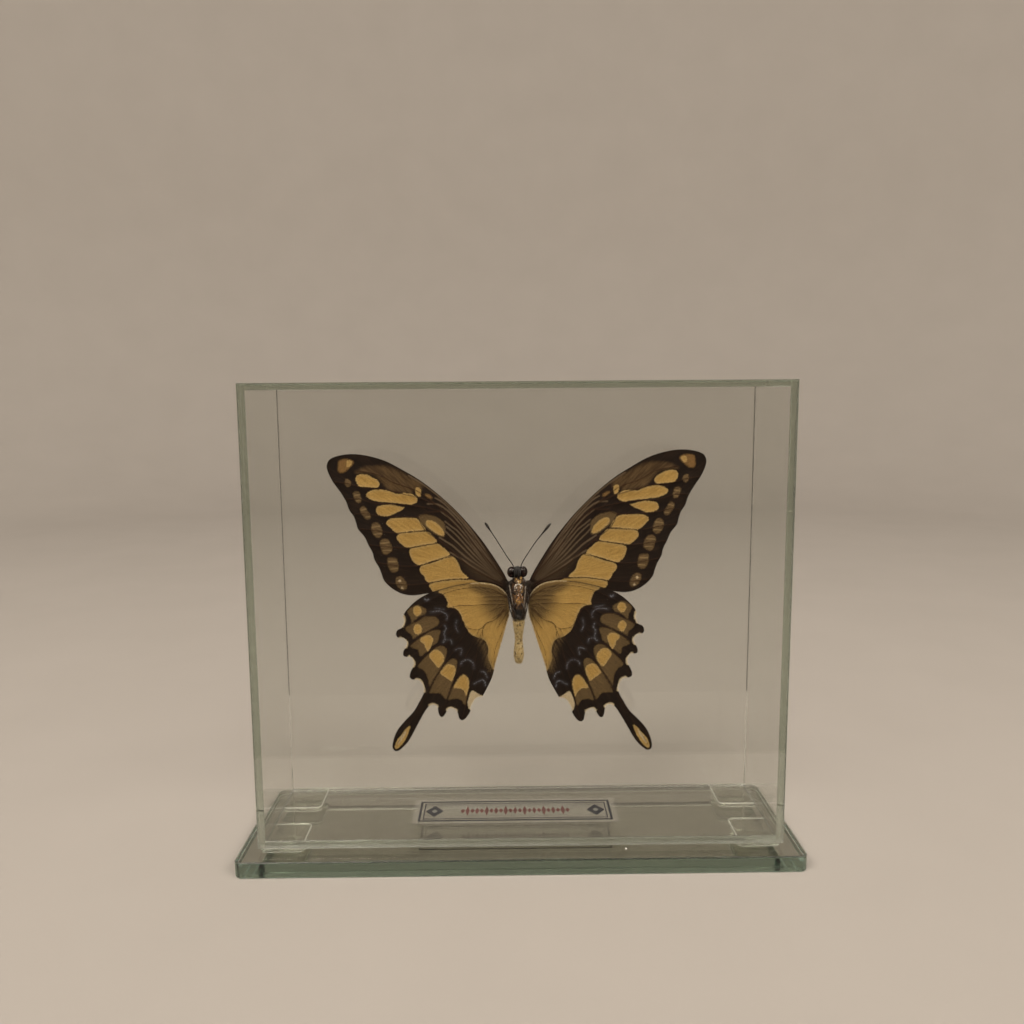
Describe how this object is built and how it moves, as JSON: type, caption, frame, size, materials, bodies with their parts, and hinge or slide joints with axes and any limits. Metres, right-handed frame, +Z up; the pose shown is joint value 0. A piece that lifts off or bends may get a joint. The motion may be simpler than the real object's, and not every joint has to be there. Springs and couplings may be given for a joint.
{
  "type": "butterfly specimen in glass display case",
  "caption": "Spread swallowtail butterfly held by a clear glue post inside a closed clear glass case that stands on a narrow mirror-glass base.",
  "frame": {"origin": "middle of the underside of the mirror base", "axes": "+X along the case, +Y through it from the specimen's underside to its upper side, +Z up"},
  "size_m": [0.1724, 0.05, 0.1466],
  "materials": {
    "mirror_glass": "5 mm float glass, silvered on its underside, polished edges that look green",
    "clear_gel": "clear soft self-adhesive gel with a wavy moulded surface",
    "case_glass": "2 mm clear float glass, ground edges, green in its length",
    "printed_film": "clear printed polyester film with a dark blue ruled border",
    "clear_glue": "cured clear glue, faintly amber",
    "insect_body": "dry chitin under fine scales and hair, dark thorax, cream abdomen",
    "forewing_scales": "matt wing scales, blackish brown with yellow spots",
    "hindwing_scales": "matt wing scales, yellow base, black margin, blue-grey crescents",
    "antenna_chitin": "bare dark chitin"
  },
  "bodies": {
    "root": {"mirror_base": "mirror_glass", "pad_front_left": "clear_gel", "pad_front_right": "clear_gel", "pad_rear_left": "clear_gel", "pad_rear_right": "clear_gel", "pane_near": "case_glass", "pane_far": "case_glass", "pane_left": "case_glass", "pane_right": "case_glass", "pane_top": "case_glass", "pane_bottom": "case_glass", "label": "printed_film", "glue_post": "clear_glue", "body": "insect_body", "forewing_left": "forewing_scales", "forewing_right": "forewing_scales", "hindwing_left": "hindwing_scales", "hindwing_right": "hindwing_scales", "antenna_left": "antenna_chitin", "antenna_right": "antenna_chitin"}
  },
  "joints": []
}
